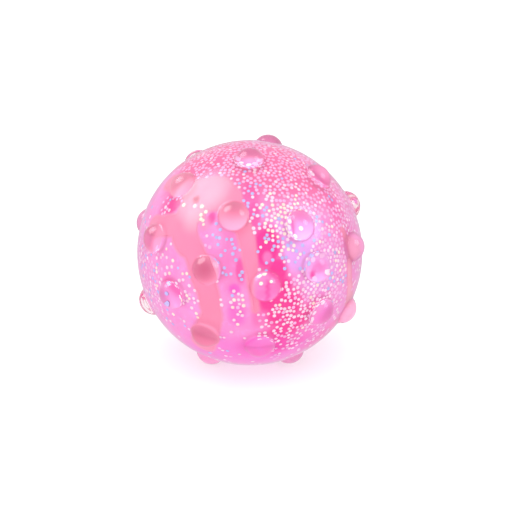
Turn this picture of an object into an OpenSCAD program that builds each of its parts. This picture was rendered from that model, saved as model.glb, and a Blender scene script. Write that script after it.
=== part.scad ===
// Squishy ball: a clear nubbed skin over two soft gels, with loose glitter in the film between them.
// The ball stands on the floor at z = 0, and its front faces -Y.

/* [Skin] */
// Diameter of the ball without its nubs
ball_d = 70; // [55:1:90]
// Thickness of the skin between the nubs
skin_wall = 2.4; // [1.6:0.1:3.2]
// Depth of the patch that the ball's own weight presses flat on the floor
rest_flat = 0.5; // [0.3:0.1:0.9]

/* [Nubs] */
// Diameter of a nub where it meets the skin
nub_base_d = 9; // [6:0.5:10]
// Height of a nub above the skin
nub_h = 2.9; // [2:0.1:3.6]

/* [Filler plug] */
// Diameter of the plug's head
plug_head_d = 6.4; // [5.5:0.1:7]
// Thickness of the plug's head, measured in from the skin's outside
plug_head_t = 1.2; // [0.8:0.1:1.4]
// Diameter of the plug's shank
plug_shank_d = 3.8; // [2.5:0.1:5]
// Glue gap all round the plug
plug_gap = 0.05; // [0.03:0.01:0.1]

/* [Gels] */
// Thickness of the pearl gel that coats the core
pearl_t = 1.2; // [0.8:0.1:1.8]
// Gap between the two gels
gel_gap = 0.1; // [0.05:0.01:0.2]
// Thickness of the film of glitter between the gels and the skin
film_t = 0.4; // [0.35:0.05:0.6]

/* [Windows in the pearl gel] */
// Radius of the large round window
blob_r = 9.5; // [8:0.5:11]
// Radius of the two windows that widen the large one
lobe_r = 6.5; // [5:0.5:7.5]
// Width of the wide run
wide_run_w = 6.8; // [5:0.2:8]
// Width of the narrow run
narrow_run_w = 4.2; // [3:0.2:5]
// How far the round end of a run stands out at each side
run_end_bulge = 0.4; // [0.2:0.1:0.8]

/* [Glitter] */
// Number of flakes in each of the four colours
flakes_per_colour = 50; // [20:1:60]
// Width of a flake across its corners
flake_d = 1.2; // [0.8:0.1:1.6]
// Thickness of a flake
flake_t = 0.16; // [0.1:0.02:0.2]

/* [Hidden] */
$fn = 64;

ball_r = ball_d / 2;
centre_z = ball_r - rest_flat;
cavity_r = ball_r - skin_wall;
gel_r = cavity_r - film_t;
core_r = gel_r - pearl_t;
flake_r = gel_r + (film_t - flake_t) / 2;

// Nubs: the height angle and bearing of each, where a bearing of -90 faces the front.
front_nubs = [
    [74, -90], [60, 70], [51, -18], [48, -150], [44, 132], [38, -100], [31, -60], [23, 13],
    [18, -150], [11, -22], [11, 162], [10, -112], [9, -54], [3, -82], [-7, -133], [-16, -50],
    [-25, -172], [-27, -17], [-28, -116], [-34, -84], [-67, -158], [-67, -19],
];
back_nubs = [
    [30, 55], [30, 100], [0, 60], [0, 95], [0, 130], [-5, 32], [-30, 20], [-30, 55], [-30, 90],
    [-30, 125], [-30, 160], [-60, 55], [-60, 125],
];
nub_base_r = nub_base_d / 2;
nub_seat = sqrt(ball_r * ball_r - nub_base_r * nub_base_r);
nub_rise = ball_r + nub_h - nub_seat;
nub_r = (nub_base_r * nub_base_r + nub_rise * nub_rise) / (2 * nub_rise);
nub_centre = ball_r + nub_h - nub_r;

// The plug sits on the back, midway between four nubs.
plug_at = [15, 78];

// Windows are laid out on the face that the front view shows, which leans back by this angle.
face_tilt = 20;
// Each place is an angle to the right and an angle up, seen from the front.
blob_at = [-24, 32];
lobes_at = [[-32, 21], [-13, 28]];
wide_run = [[-34, 14], [-22, -48]];
narrow_run = [[-7, 24], [5, -50]];

// A size larger than the whole ball, for cuts
beyond = 2 * ball_d;
golden_angle = 180 * (3 - sqrt(5));
flake_total = 4 * flakes_per_colour;

function face_xy(at) = [gel_r * sin(at[0]), gel_r * sin(at[1])];

// Where a point of a unit sphere shows on the front face, and how far it faces forwards
function on_face(p) = [p[0], p[1] * sin(face_tilt) + p[2] * cos(face_tilt)] * gel_r;
function facing(p) = p[2] * sin(face_tilt) - p[1] * cos(face_tilt);

// Distance from a point to a straight run between two points
function run_share(p, a, b) = max(0, min(1, (p - a) * (b - a) / ((b - a) * (b - a))));
function run_distance(p, a, b) = norm(p - a - run_share(p, a, b) * (b - a));

function in_disc(p, at, r) = norm(p - face_xy(at)) < r;
function in_run(p, run, w) =
    run_distance(p, face_xy(run[0]), face_xy(run[1])) < w / 2 + run_end_bulge;
function in_window(p) =
    in_disc(p, blob_at, blob_r + flake_d)
    || len([for (at = lobes_at) if (in_disc(p, at, lobe_r + flake_d)) 1]) > 0
    || in_run(p, wide_run, wide_run_w + 2 * flake_d)
    || in_run(p, narrow_run, narrow_run_w + 2 * flake_d);

// Evenly spread directions on a sphere, as a height angle and a bearing
function spread_at(i) = [asin(1 - (2 * i + 1) / flake_total), i * golden_angle];
function unit(at) = [cos(at[0]) * cos(at[1]), cos(at[0]) * sin(at[1]), sin(at[0])];
function shows(at) = facing(unit(at)) < 0 || !in_window(on_face(unit(at)));

module about_centre() {
    translate([0, 0, centre_z]) children();
}

// A large sphere, drawn finely enough for the thin layers that it bounds.
module ball(r) {
    sphere(r, $fn = 180);
}

// Turns +Z to point out of the ball at a height angle and bearing.
module outward(at) {
    rotate([0, 90 - at[0], at[1]]) children();
}

module plug_stem(gap) {
    outward(plug_at) {
        cylinder(r = plug_shank_d / 2 + gap, h = beyond / 2);
        translate([0, 0, ball_r - plug_head_t - gap])
            cylinder(r = plug_head_d / 2 + gap, h = beyond / 2);
    }
}

module skin_form() {
    about_centre() difference() {
        union() {
            ball(ball_r);
            for (at = concat(front_nubs, back_nubs))
                outward(at) translate([0, 0, nub_centre]) sphere(nub_r);
        }
        ball(cavity_r);
        plug_stem(plug_gap);
    }
}

module skin_upper() {
    color([1, 0.75, 0.84, 0.4]) intersection() {
        skin_form();
        translate([-beyond / 2, -beyond / 2, centre_z]) cube(beyond);
    }
}

module skin_lower() {
    color([1, 0.75, 0.84, 0.4]) intersection() {
        skin_form();
        translate([-beyond / 2, -beyond / 2, 0]) cube([beyond, beyond, centre_z]);
    }
}

module filler_plug() {
    color([1, 0.8, 0.87, 0.6]) about_centre() difference() {
        intersection() {
            plug_stem(0);
            ball(ball_r);
        }
        ball(cavity_r);
    }
}

module window_run(run, w, grow) {
    from = face_xy(run[0]);
    to = face_xy(run[1]);
    lean = atan2(to[1] - from[1], to[0] - from[0]);
    translate(from) rotate([0, 0, lean])
        translate([0, -w / 2 - grow, 0]) cube([norm(to - from), w + 2 * grow, beyond / 2]);
    translate(to) cylinder(r = w / 2 + run_end_bulge + grow, h = beyond / 2);
}

// The windows as prisms that reach from the ball's middle out through its front.
module windows(grow) {
    rotate([90 - face_tilt, 0, 0]) {
        translate(face_xy(blob_at)) cylinder(r = blob_r + grow, h = beyond / 2);
        for (at = lobes_at)
            translate(face_xy(at)) cylinder(r = lobe_r + grow, h = beyond / 2);
        window_run(wide_run, wide_run_w, grow);
        window_run(narrow_run, narrow_run_w, grow);
    }
}

module core_gel() {
    color([1, 0.59, 0.7]) about_centre() union() {
        ball(core_r);
        intersection() {
            ball(gel_r);
            windows(-gel_gap);
        }
    }
}

module pearl_gel() {
    color([0.98, 0.4, 0.75]) about_centre() difference() {
        ball(gel_r);
        ball(core_r + gel_gap);
        windows(0);
    }
}

module flakes(set) {
    about_centre()
        for (i = [set : 4 : flake_total - 1])
            if (shows(spread_at(i)))
                outward(spread_at(i)) translate([0, 0, flake_r])
                    cylinder(d = flake_d, h = flake_t, $fn = 6);
}

module glitter_silver() { color([0.95, 0.93, 0.96]) flakes(0); }
module glitter_gold() { color([0.98, 0.92, 0.7]) flakes(1); }
module glitter_blue() { color([0.75, 0.83, 0.96]) flakes(2); }
module glitter_rose() { color([0.97, 0.72, 0.93]) flakes(3); }

skin_upper();
skin_lower();
filler_plug();
core_gel();
pearl_gel();
glitter_silver();
glitter_gold();
glitter_blue();
glitter_rose();
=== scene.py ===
"""Squishy ball: clear nubbed skin, peach and pearl gels, and loose glitter, on a pale studio floor."""
import math

import bmesh
import bpy
import numpy as np
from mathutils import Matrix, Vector


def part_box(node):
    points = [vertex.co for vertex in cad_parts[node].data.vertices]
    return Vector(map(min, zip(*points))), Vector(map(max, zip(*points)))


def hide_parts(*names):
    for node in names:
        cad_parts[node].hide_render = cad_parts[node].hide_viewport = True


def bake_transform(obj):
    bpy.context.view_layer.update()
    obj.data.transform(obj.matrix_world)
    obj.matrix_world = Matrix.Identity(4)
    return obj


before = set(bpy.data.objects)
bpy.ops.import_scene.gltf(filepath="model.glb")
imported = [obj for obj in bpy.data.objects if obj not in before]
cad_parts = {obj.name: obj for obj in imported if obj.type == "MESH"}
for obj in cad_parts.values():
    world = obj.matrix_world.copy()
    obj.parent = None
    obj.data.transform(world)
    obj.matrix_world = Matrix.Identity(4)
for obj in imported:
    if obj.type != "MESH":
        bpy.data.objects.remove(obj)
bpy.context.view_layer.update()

bl_info = {
    "name": "Squishy ball",
    "version": (1, 0, 0),
    "blender": (4, 5, 0),
    "location": "3D View > Sidebar > Squishy ball",
    "description": "Builds a clear nubbed squishy ball filled with two gels and glitter",
    "category": "Add Mesh",
}

MM = 0.001
PEARL_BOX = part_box("pearl_gel")
LOWER_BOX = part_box("skin_lower")
CENTRE = Vector((0.0, 0.0, (PEARL_BOX[0].z + PEARL_BOX[1].z) / 2))
GEL_RADIUS = (PEARL_BOX[1].z - PEARL_BOX[0].z) / 2
BALL_RADIUS = (LOWER_BOX[1].x - LOWER_BOX[0].x) / 2

# The front view looks down on the ball by this angle, and the gels' pattern is laid out on that view.
VIEW_TILT = math.radians(20)
VIEW_RIGHT = np.array((1.0, 0.0, 0.0))
VIEW_UP = np.array((0.0, math.sin(VIEW_TILT), math.cos(VIEW_TILT)))
VIEW_NEAR = np.array((0.0, -math.cos(VIEW_TILT), math.sin(VIEW_TILT)))
SKIN_IOR = 1.45
# The ball's middle stands left of and above the picture's middle by these lengths.
PICTURE_LEFT = 1.92 * MM
PICTURE_ABOVE = 1.05 * MM
# A place in the view counts as no farther out than this share of the ball's radius.
OUTLINE_LIMIT = 0.995

# Layers of the filling, measured in or out from the gel's surface
FILM_HEIGHT = 0.12 * MM
RUN_INSET = 0.05 * MM
CORE_INSET = 1.05 * MM
COAT_INSET = 1.0 * MM
COAT_DIP = 0.5 * MM
# Edges of the peach runs (mm): overlap with the pearl gel, rise, spread of the tint, and gap to the glitter
RUN_OVERLAP = 0.1
RUN_EDGE = 0.6
RUN_TINT = 1.1
RUN_CLEARANCE = 0.1
CLEARANCE_FADE = 0.5
# How wide a run is made for its half width, and how softly (mm) its strokes join, swell and waver
RUN_FIT = 0.87
RUN_JOIN = 0.8
RUN_SWELL = 0.1
RUN_WAVER = 0.2
# A patch ends at this many times its half size, fades over this many, and stays where the cosine to its
# middle is over OWN_SIDE. A spot fades over this share of its radius.
PATCH_REACH = 1.35
PATCH_FADE = 0.75
OWN_SIDE = 0.2
SPOT_FADE = 0.9
# Shade under a nub's foot: radius and half width (mm), and the shares for a faint foot and for the core
FOOT_RING = 4.1
FOOT_RING_WIDTH = 0.9
FAINT_FOOT = 0.4
CORE_FOOT = 0.35
# Gel in a filled nub starts to rise this far (mm) from the nub's axis, and rises over this width.
FILL_REACH = 4.2
FILL_SLOPE = 3.0
# Levels of the icospheres, for the faces that show and for those inside
SHOWN_LEVEL = 7
INSIDE_LEVEL = 6
# Skin: finer faces reach this many times a nub's radius. The search for the surface runs from this share of
# the ball's radius to this many nub heights above it, by halving. A point that is so near lies on the surface.
FINE_REACH = 1.35
SEARCH_LOW = 0.97
SEARCH_HIGH = 1.2
HALVINGS = 40
ON_SURFACE = 0.02 * MM
# Filler plug: gap at its end, height of its seat's cutter, its rounded rim, crown, dimple and sharp edges
PLUG_END_GAP = 0.05 * MM
CUTTER_ABOVE = 2 * MM
RIM_DROP = 0.3 * MM
RIM_INSET = 0.2 * MM
RIM_RISE = 0.16 * MM
RIM_STEPS = 5
CROWN_INSET = 0.4 * MM
CROWN_STEPS = 14
DIMPLE_REACH = 1.4 * MM
DIMPLE_SLOPE = 0.9 * MM
PLUG_SHARP = math.radians(50)
# Loose glitter: a flake's sides, the least and most of its set width, its darkest shade, the seed, and the
# most flakes in a square metre
FLAKE_SIDES = 6
FLAKE_SIZES = (0.85, 1.1)
FLAKE_SHADE = 0.86
GLITTER_SEED = 11
GLITTER_DENSITY = 4e6
# Stray flakes between the zones: cover, shares of the four colours, and their weight
STRAY_COVER = 0.10
STRAY_SHARES = (0.5, 0.1, 0.1, 0.3)
STRAY_WEIGHT = 0.05
# Light passes through many walls in the nubs at the outline.
LIGHT_BOUNCES = 40
# Half the floor's width (m), the width of the camera's sensor (mm), and the nearest that the camera sees (m)
FLOOR_REACH = 3
SENSOR_WIDTH = 36.0
NEAR_CLIP = 0.01

# Nubs: the height angle and bearing of each, where a bearing of -90 faces the front.
FRONT_NUBS = [
    (74, -90), (60, 70), (51, -18), (48, -150), (44, 132), (38, -100), (31, -60), (23, 13),
    (18, -150), (11, -22), (11, 162), (10, -112), (9, -54), (3, -82), (-7, -133), (-16, -50),
    (-25, -172), (-27, -17), (-28, -116), (-34, -84), (-67, -158), (-67, -19),
]
BACK_NUBS = [
    (30, 55), (30, 100), (0, 60), (0, 95), (0, 130), (-5, 32), (-30, 20), (-30, 55), (-30, 90),
    (-30, 125), (-30, 160), (-60, 55), (-60, 125),
]
# Nubs whose feet shade the gel less than the others do
FAINT_FEET = [(-28, -116), (-34, -84)]
PLUG_AT = (15, 78)
# Nubs that the gel rises into: height angle, bearing, and how peach, dusky and milky the gel is there.
FILLED_NUBS = [
    (60, 70, 0.0, 1.0, 0.0), (11, -22, 0.0, 0.6, 0.15),
    (11, 162, 0.0, 0.8, 0.15), (-27, -17, 0.75, 0.0, 0.3),
    (-67, -158, 0.4, 0.35, 0.0), (-67, -19, 0.2, 0.6, 0.0),
]

# Runs of peach gel: places in mm right of and above the ball's middle, with the half width there.
FRONT_RUNS = [
    [(-25.4, 22.5, 2.8), (-18.5, 21.0, 4.0), (-11.7, 20.0, 6.2), (-7.2, 17.9, 4.7)],
    [(-7.2, 17.9, 4.7), (-5.5, 12.8, 3.9), (-2.0, 7.4, 3.0), (-1.0, 3.9, 2.6), (0.1, -2.3, 2.2),
     (0.8, -8.5, 1.7), (1.6, -14.7, 1.4), (2.0, -19.0, 1.0)],
    [(-18.5, 21.0, 4.0), (-19.8, 14.8, 4.3), (-21.8, 9.0, 5.8), (-20.9, 3.9, 5.0), (-18.2, -0.6, 4.4),
     (-16.9, -4.3, 4.3), (-15.6, -8.5, 4.2), (-13.8, -13.7, 4.0), (-13.0, -18.0, 3.8), (-12.5, -22.0, 3.5),
     (-13.0, -27.7, 3.2)],
    [(-21.0, 9.5, 4.6), (-26.3, 9.0, 3.8), (-31.0, 8.4, 3.4)],
    [(-17.5, 13.5, 4.2), (-14.5, 15.8, 3.0), (-9.0, 17.0, 3.2)],
    [(-13.2, -22.0, 3.3), (-14.4, -27.0, 4.2), (-15.0, -29.5, 4.0)],
    [(30.2, 7.5, 0.8), (31.5, 4.1, 1.1), (32.3, -0.6, 1.4), (32.3, -4.0, 1.5), (32.2, -8.2, 1.6),
     (32.0, -12.0, 1.8), (31.4, -15.0, 2.2)],
]
BACK_RUNS = [
    [(-4.0, 20.0, 5.0), (5.0, 17.0, 6.5), (13.0, 14.0, 5.0)],
    [(5.0, 17.0, 5.0), (3.0, 4.0, 3.2), (1.5, -22.0, 2.8)],
    [(13.0, 14.0, 4.0), (17.0, 2.0, 2.4), (16.0, -14.0, 1.9)],
    [(-16.0, 6.0, 2.6), (-18.0, -16.0, 2.0)],
    [(29.5, 12.5, 2.4), (26.0, 6.0, 3.2), (24.6, -4.0, 2.6), (25.4, -14.0, 2.0)],
    [(-29.5, 13.5, 2.2), (-32.4, 5.0, 3.0), (-32.6, -4.0, 2.4), (-30.6, -13.0, 1.9)],
]

# Patches of the pearl gel's tints: right, up, half width, half height (mm) and strength.
# A patch of negative strength thins the ones before it.
MAGENTA_PATCHES = [
    (5.6, 1.7, 5.2, 8.0, 1.0), (9.2, -6.9, 3.6, 6.0, 1.0), (7.8, -14.7, 6.0, 6.0, 1.0),
    (11.5, -19.0, 6.0, 6.5, 1.0), (13.5, -26.5, 8.0, 5.0, 1.0), (3.8, -20.3, 3.0, 5.0, 0.45),
    (-24.4, 16.0, 2.6, 2.6, 0.9), (-3.0, -6.0, 1.8, 4.5, 0.75),
    (1.6, 12.3, 2.2, 5.5, 0.7), (0.2, 17.5, 3.2, 6.5, 0.5), (-12.5, 11.6, 1.3, 2.2, 0.75),
    (-25.4, -11.6, 2.4, 3.0, 0.7), (24.0, -26.0, 8.0, 4.0, 0.4), (28.9, 11.7, 2.0, 5.0, 0.45),
    (11.0, -12.0, 3.4, 4.5, 1.0), (-6.1, -2.9, 4.5, 10.0, 0.25),
    (5.6, -12.0, 3.0, 3.0, -0.45), (5.8, -12.4, 0.5, 2.9, 0.9), (16.0, -2.0, 3.5, 4.0, -0.8),
    # On this line and the next, (21.7, -6.4) paints the dark arc at one nub's edge, and (15.3, 9.0) and (20.6,
    # 9.0) paint the dark outline of another nub: painted shade where the nubs' edges bend light.
    (21.7, -6.4, 0.6, 1.0, 0.9), (23.0, -4.9, 1.2, 1.2, 0.45),
    (15.3, 9.0, 0.5, 2.4, 0.7), (20.6, 9.0, 0.55, 3.0, 0.5), (5.9, -1.7, 1.5, 2.0, -0.55),
    (4.0, -31.5, 3.2, 2.8, -0.7), (24.3, -20.4, 3.4, 3.4, -0.8),
    (17.6, 10.9, 1.6, 1.2, 0.3), (-26.3, 15.6, 2.6, 3.2, 0.5),
]
ORCHID_PATCHES = [
    (-4.9, -12.2, 2.0, 1.8, 0.7), (-4.3, -20.3, 3.0, 4.0, 0.5), (24.4, -20.4, 1.4, 1.4, 0.3),
    (2.0, -33.0, 24.0, 6.5, 0.41), (-14.0, -33.0, 9.0, 4.0, 0.45), (4.0, -31.5, 3.0, 2.5, -0.3),
]
# Of the pale patches, (12.0, 9.0) and (19.5, 7.5) paint the pale haze of the right softbox's reflection near a
# nub: painted reflection.
PALE_PATCHES = [
    (16.5, -0.5, 6.0, 6.0, 1.0), (19.5, 7.5, 4.0, 4.5, 0.8), (12.0, 9.0, 4.0, 6.0, 0.9),
    (23.0, -7.0, 6.0, 8.0, 0.35), (-17.0, -19.0, 4.0, 4.0, 0.3),
]
WARM_PATCHES = [
    (7.8, 29.0, 27.0, 13.0, 1.0), (-12.0, 33.0, 14.0, 6.0, 1.0), (-15.0, 28.5, 8.0, 4.5, 1.0),
    (25.0, 21.0, 10.0, 9.0, 0.25), (12.5, 14.8, 7.0, 5.0, 0.5), (29.5, 7.0, 3.0, 8.0, 0.2),
    (22.9, 25.4, 2.6, 2.6, -0.4), (0.1, 31.7, 2.6, 2.6, -0.15),
]
# Places where the pearl gel runs softly into peach: right, up, half width, half height (mm), strength.
PEACH_PATCHES = [
    (-14.8, 9.4, 2.0, 2.4, 0.5), (-8.4, 8.4, 2.4, 1.4, 0.35), (-12.7, -5.4, 1.5, 2.6, 0.85),
    (-32.0, 3.9, 2.0, 2.6, 0.75),
]
# Spots of the peach gel: right, up, radius (mm) and strength. The darker spots are painted shade under nubs
# and low on a run, and the last of them is a dark dimple. Of the paler spots, the first two are painted
# highlight where softbox haze falls, and the rest make the gel paler under a nub and near the right outline.
SHADE_AND_DIMPLE_SPOTS = [
    (-14.9, -6.0, 4.4, 0.68), (-5.2, 13.9, 3.4, 0.45), (-15.0, -26.8, 5.2, 0.44), (-13.2, -18.5, 8.0, 0.07),
    (-17.6, 17.5, 1.7, 1.0),
]
PALE_AND_HIGHLIGHT_SPOTS = [
    (-18.5, 11.0, 5.6, 0.8), (-11.0, 18.0, 6.0, 0.3), (-22.8, 22.8, 3.4, 0.6), (32.2, -1.0, 5.0, 0.6),
    (32.2, -6.0, 5.0, 0.6), (31.8, -12.0, 5.0, 0.6),
]
# Milky spots of the pearl gel, painted highlight on two nubs: right, up, radius (mm) and strength.
MILKY_HIGHLIGHT_SPOTS = [(0.1, 31.25, 2.4, 0.3), (23.0, 25.5, 2.2, 0.5)]
BACK_MAGENTA = [(-8.0, 2.0, 7.0, 11.0, 1.0), (10.0, -18.0, 8.0, 9.0, 0.9), (-22.0, 12.0, 6.0, 7.0, 0.7),
                (29.2, -6.0, 3.2, 8.0, 0.8), (-30.4, -3.0, 2.0, 7.0, 0.8)]
BACK_WARM = [(0.0, 28.0, 24.0, 7.0, 1.0), (24.0, 8.0, 6.0, 10.0, 0.7)]
BACK_PALE = [(-20.0, -8.0, 7.0, 8.0, 1.0), (2.0, 10.0, 5.0, 7.0, 0.6), (20.0, 1.0, 3.6, 8.0, 0.8)]

# Glitter: right, up, half width, half height (mm), cover, then the shares of silver, gold, blue and rose.
FRONT_GLITTER = [
    (9.4, 31.0, 28.0, 13.0, 0.95, (0.12, 0.00, 0.01, 0.87)),
    (-12.0, 33.0, 14.0, 6.5, 0.95, (0.12, 0.00, 0.00, 0.88)),
    (-14.0, 29.0, 9.0, 5.0, 0.70, (0.10, 0.00, 0.00, 0.90)),
    (12.0, 21.0, 17.0, 6.0, 0.85, (0.15, 0.00, 0.05, 0.80)),
    (25.0, 11.0, 8.0, 9.0, 0.80, (0.30, 0.00, 0.00, 0.70)),
    (15.5, 15.0, 5.0, 3.5, 0.95, (0.40, 0.50, 0.00, 0.10)),
    (5.4, -9.5, 3.0, 2.5, 0.80, (0.20, 0.70, 0.10, 0.00)),
    (0.0, 22.5, 6.0, 8.0, 0.70, (0.25, 0.00, 0.20, 0.55)),
    (1.2, 14.8, 3.8, 10.0, 0.75, (0.25, 0.00, 0.65, 0.10)),
    (10.5, 9.5, 6.5, 10.5, 1.00, (0.50, 0.50, 0.00, 0.00)),
    (28.0, 20.0, 13.0, 12.0, 0.90, (0.20, 0.00, 0.00, 0.80)),
    (31.0, 2.0, 9.0, 16.0, 0.90, (0.40, 0.00, 0.10, 0.50)),
    (16.5, -0.5, 7.0, 6.0, 0.50, (0.05, 0.05, 0.85, 0.05)),
    (23.5, -13.0, 8.5, 10.0, 0.92, (0.42, 0.05, 0.06, 0.47)),
    (11.5, -21.0, 7.5, 9.5, 0.68, (0.97, 0.03, 0.00, 0.00)),
    (21.0, -24.0, 8.0, 5.0, 0.60, (0.50, 0.00, 0.00, 0.50)),
    (6.3, -0.7, 4.2, 6.0, 0.45, (0.30, 0.00, 0.70, 0.00)),
    (25.0, -2.5, 6.0, 9.0, 0.95, (0.40, 0.03, 0.12, 0.45)),
    (-6.1, -2.9, 4.5, 10.0, 0.40, (0.00, 0.00, 1.00, 0.00)),
    (-4.3, -17.5, 3.6, 6.0, 0.55, (0.45, 0.55, 0.00, 0.00)),
    (-24.7, -7.9, 6.0, 7.0, 0.35, (0.45, 0.35, 0.10, 0.10)),
    (-20.1, -14.7, 5.0, 5.0, 0.45, (0.55, 0.35, 0.00, 0.10)),
    (-33.0, -5.4, 5.0, 18.0, 0.80, (0.30, 0.00, 0.10, 0.60)),
    (12.0, -33.0, 18.0, 6.0, 0.22, (0.40, 0.00, 0.00, 0.60)),
    (-26.3, 16.0, 4.0, 3.6, 0.60, (0.20, 0.00, 0.20, 0.60)),
]
# Places (right, up and radius in mm) that stay clear of scattered flakes, most of them under nubs.
CLEAR_SPOTS = [
    (5.7, -12.1, 2.9), (17.8, 9.5, 2.9), (23.2, -4.8, 1.4), (24.3, -20.1, 2.4), (3.4, -31.7, 2.6),
    (-32.2, 4.9, 2.8), (-26.7, -14.4, 2.4), (22.9, 25.4, 2.4), (0.1, 31.7, 2.4), (34.2, 2.2, 3.2),
    (-12.4, -4.8, 2.2), (-10.0, -29.4, 2.5),
]
# Single flakes: right and up (mm), size and colour.
SINGLE_FLAKES = [
    (-21.6, 15.6, 1.25, "gold"), (-18.0, 15.3, 1.25, "silver"), (-15.7, 15.2, 1.25, "gold"),
    (-14.4, 13.4, 1.15, "gold"), (-16.0, 12.4, 1.1, "gold"), (-16.0, 11.0, 1.1, "gold"),
    (-11.0, 9.5, 1.0, "blue"), (-9.7, 7.5, 1.0, "blue"), (-12.1, 5.8, 0.9, "blue"),
    (-9.9, 4.8, 1.0, "blue"), (-10.4, 2.6, 1.0, "blue"), (4.4, -10.7, 0.75, "gold"),
    (6.6, -10.3, 0.6, "gold"), (17.0, 8.4, 0.9, "silver"), (-26.8, -13.8, 0.6, "blue"),
    (-26.5, -15.2, 0.7, "blue"),
]
BACK_GLITTER = [
    (0.0, 27.0, 24.0, 8.0, 0.80, (0.40, 0.10, 0.00, 0.50)),
    (-8.0, 2.0, 8.0, 10.0, 0.60, (0.20, 0.20, 0.60, 0.00)),
    (10.0, -18.0, 10.0, 10.0, 0.90, (0.90, 0.10, 0.00, 0.00)),
    (-20.0, -10.0, 9.0, 12.0, 0.60, (0.40, 0.20, 0.10, 0.30)),
    (24.0, 2.0, 8.0, 14.0, 0.60, (0.50, 0.10, 0.20, 0.20)),
    (28.5, -4.0, 4.6, 15.0, 0.80, (0.50, 0.05, 0.10, 0.35)),
    (20.0, 1.0, 4.0, 9.0, 0.60, (0.20, 0.30, 0.50, 0.00)),
    (-27.0, 6.0, 5.5, 13.0, 0.80, (0.50, 0.05, 0.10, 0.35)),
    (-30.4, -4.0, 2.6, 9.0, 0.85, (0.50, 0.20, 0.30, 0.00)),
    (32.6, 2.0, 1.8, 9.0, 0.60, (0.30, 0.30, 0.40, 0.00)),
]
GLITTER_NAMES = ("silver", "gold", "blue", "rose")


def outward(place):
    """Unit vector for a height angle and a bearing in degrees."""
    height = math.radians(place[0])
    bearing = math.radians(place[1])
    flat = math.cos(height)
    return np.array((flat * math.cos(bearing), flat * math.sin(bearing), math.sin(height)))


def nub_aims():
    """Unit vectors from the ball's middle to the nubs."""
    return np.array([outward(place) for place in FRONT_NUBS + BACK_NUBS])


def seen_direction(right, up, behind=False):
    """Unit vector to the spot of gel that shows, through the skin, at a place (mm) in the front view."""
    across = min(math.hypot(right, up) * MM, OUTLINE_LIMIT * BALL_RADIUS)
    entry = math.asin(across / BALL_RADIUS)
    bend = math.asin(across / (SKIN_IOR * BALL_RADIUS)) - math.asin(across / (SKIN_IOR * GEL_RADIUS))
    angle = entry + bend
    turn = math.atan2(up, right)
    side = -1.0 if behind else 1.0
    return (side * VIEW_NEAR * math.cos(angle) + side * VIEW_RIGHT * math.sin(angle) * math.cos(turn)
            + VIEW_UP * math.sin(angle) * math.sin(turn))


def smooth_step(values):
    """Runs smoothly from 0 to 1 as the values do, and stays there beyond them."""
    share = np.clip(values, 0.0, 1.0)
    return share * share * (3.0 - 2.0 * share)


def smooth_least(first, second, reach, swell):
    """Lesser of two distances, blended and a little swollen where they differ by less than a reach."""
    share = np.clip(0.5 + 0.5 * (first - second) / reach, 0.0, 1.0)
    return first * (1 - share) + second * share - swell * share * (1 - share)


def distances(directions, aim):
    """Straight distance (mm) on the gel's surface from each direction to an aim."""
    return np.linalg.norm(directions - aim, axis=1) * GEL_RADIUS / MM


def patch_weight(directions, patch, behind):
    """How strongly a patch covers each direction, from 0 to 1."""
    right, up, half_width, half_height = patch[:4]
    middle = seen_direction(right, up, behind)
    over = (seen_direction(right + half_width, up, behind)
            - seen_direction(right - half_width, up, behind)) / 2
    along = (seen_direction(right, up + half_height, behind)
             - seen_direction(right, up - half_height, behind)) / 2
    offset = directions - middle
    reach = np.hypot(offset @ over / (over @ over), offset @ along / (along @ along))
    weight = smooth_step((PATCH_REACH - reach) / PATCH_FADE)
    return np.where(directions @ middle > OWN_SIDE, weight, 0.0)


def ripple(directions, scale, phase):
    """Smooth wandering value between about -1 and 1, used to make edges uneven."""
    x, y, z = (directions * scale).T
    first = np.sin(x + 1.7 * np.sin(y + phase) + phase)
    second = np.sin(y * 1.3 + 1.4 * np.sin(z * 0.9 - phase))
    third = np.sin(z * 1.1 + 1.6 * np.sin(x * 1.2 + 2.0 * phase))
    return (first + second + third) / 3.0


def smooth_curve(places, steps=12):
    """Places along a smooth curve through the given ones."""
    line = np.array(places)
    line = np.vstack((2 * line[0] - line[1], line, 2 * line[-1] - line[-2]))
    curve = []
    for first, second, third, fourth in zip(line, line[1:], line[2:], line[3:]):
        for share in np.linspace(0.0, 1.0, steps, endpoint=False):
            cubic = 3 * (second - third) + fourth - first
            square = 2 * first - 5 * second + 4 * third - fourth
            curve.append(second + 0.5 * share * (third - first + share * (square + share * cubic)))
    curve.append(line[-2])
    return curve


def peach_distance(directions):
    """Distance (mm) from each direction to the edge of the peach gel's runs, negative inside them."""
    nearest = np.full(len(directions), 2 * GEL_RADIUS / MM)
    for behind, runs in ((False, FRONT_RUNS), (True, BACK_RUNS)):
        for run in runs:
            for right, up, half_width in smooth_curve(run):
                away = distances(directions, seen_direction(right, up, behind)) - RUN_FIT * half_width
                nearest = smooth_least(nearest, away, reach=RUN_JOIN, swell=RUN_SWELL)
    return nearest + RUN_WAVER * ripple(directions, scale=7.0, phase=0.6)


def patches_total(directions, front, back):
    """Strongest of a tint's patches at each direction, less the patches of negative strength."""
    total = np.zeros(len(directions))
    for behind, patches in ((False, front), (True, back)):
        for patch in patches:
            weight = patch[4] * patch_weight(directions, patch, behind)
            total = np.where(weight < 0.0, total * (1.0 + weight), np.maximum(total, weight))
    return total


def spots_total(directions, spots):
    """How strongly round spots cover each direction, from 0 to 1."""
    total = np.zeros(len(directions))
    for right, up, radius, strength in spots:
        away = distances(directions, seen_direction(right, up))
        total = np.maximum(total, strength * smooth_step((radius - away) / (SPOT_FADE * radius)))
    return total


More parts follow.
